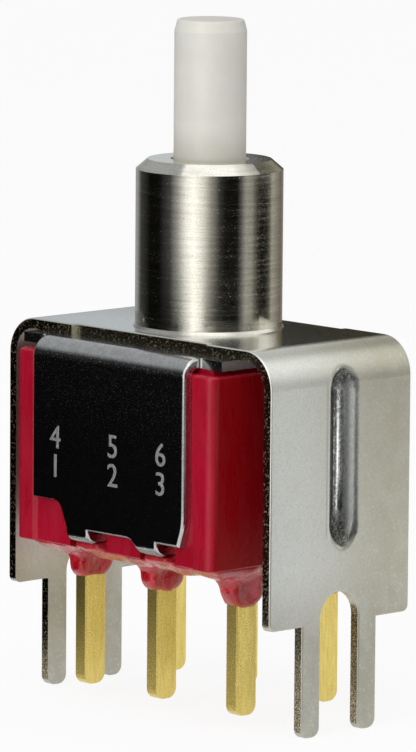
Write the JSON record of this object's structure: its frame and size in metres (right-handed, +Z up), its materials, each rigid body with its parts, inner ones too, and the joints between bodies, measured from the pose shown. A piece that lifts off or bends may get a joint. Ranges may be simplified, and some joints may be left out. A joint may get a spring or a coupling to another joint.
{
  "type": "pushbutton switch",
  "caption": "Double-pole board-mounted pushbutton switch with a plain round bushing, a folded support bracket with solder legs and flat gold pins.",
  "frame": {"origin": "on the plunger's axis, in the plane of the board's upper surface where the bracket's shoulders rest", "axes": "+Z up along the plunger, -Y towards the lettered front tab, +X along the row of three pins from common to normally closed"},
  "size_m": [0.0166, 0.0116, 0.0298],
  "materials": {
    "plunger_plastic": "satin moulded, slightly translucent",
    "bushing_nickel": "turned and nickel plated",
    "bracket_nickel": "satin plated sheet",
    "frame_nickel": "bright plated sheet",
    "case_plastic": "semi-gloss moulded",
    "seal_resin": "cast resin, slightly translucent",
    "actuator_plastic": "moulded",
    "spring_steel": "drawn wire",
    "gold_plate": "gold plated, stamped",
    "contact_silver": "silver",
    "arm_copper": "rolled copper alloy"
  },
  "bodies": {
    "switch_body": {"bushing": "bushing_nickel", "support_bracket": "bracket_nickel", "cover_frame": "frame_nickel", "case": "case_plastic", "terminal_seal": "seal_resin", "return_spring": "spring_steel", "common_terminal_front": "gold_plate", "no_terminal_front": "gold_plate", "nc_terminal_front": "gold_plate", "no_contact_front": "contact_silver", "nc_contact_front": "contact_silver", "common_terminal_back": "gold_plate", "no_terminal_back": "gold_plate", "nc_terminal_back": "gold_plate", "no_contact_back": "contact_silver", "nc_contact_back": "contact_silver"},
    "plunger": {"plunger": "plunger_plastic", "actuator": "actuator_plastic"},
    "arm_front": {"contact_arm_front": "arm_copper", "moving_contact_front": "contact_silver"},
    "snap_spring_front": {"snap_spring_front": "spring_steel"},
    "arm_back": {"contact_arm_back": "arm_copper", "moving_contact_back": "contact_silver"},
    "snap_spring_back": {"snap_spring_back": "spring_steel"}
  },
  "joints": [
    {"name": "plunger_press", "type": "slide", "parent": "switch_body", "child": "plunger", "axis": [0, 0, -1], "range_m": [0, 0.0015], "stiffness_N_per_m": 900, "springref_m": -0.0012, "deforming": ["return_spring"]},
    {"name": "arm_front_swing", "type": "hinge", "parent": "switch_body", "child": "arm_front", "pos_m": [-0.0045, -0.00242, 0.00642], "axis": [0, 1, 0], "range_deg": [0, 3.25]},
    {"name": "snap_spring_front_swing", "type": "hinge", "parent": "arm_front", "child": "snap_spring_front", "pos_m": [0.0025, -0.00242, 0.00668], "axis": [0, 1, 0], "range_deg": [-16.75, 0]},
    {"name": "arm_back_swing", "type": "hinge", "parent": "switch_body", "child": "arm_back", "pos_m": [-0.0045, 0.00242, 0.00642], "axis": [0, 1, 0], "range_deg": [0, 3.25]},
    {"name": "snap_spring_back_swing", "type": "hinge", "parent": "arm_back", "child": "snap_spring_back", "pos_m": [0.0025, 0.00242, 0.00668], "axis": [0, 1, 0], "range_deg": [-16.75, 0]}
  ],
  "couplings": [
    {"joint": "arm_front_swing", "follows": "plunger_press", "rad_per_m": 37.234},
    {"joint": "snap_spring_front_swing", "follows": "plunger_press", "rad_per_m": -193.72},
    {"joint": "arm_back_swing", "follows": "plunger_press", "rad_per_m": 37.234},
    {"joint": "snap_spring_back_swing", "follows": "plunger_press", "rad_per_m": -193.72}
  ]
}
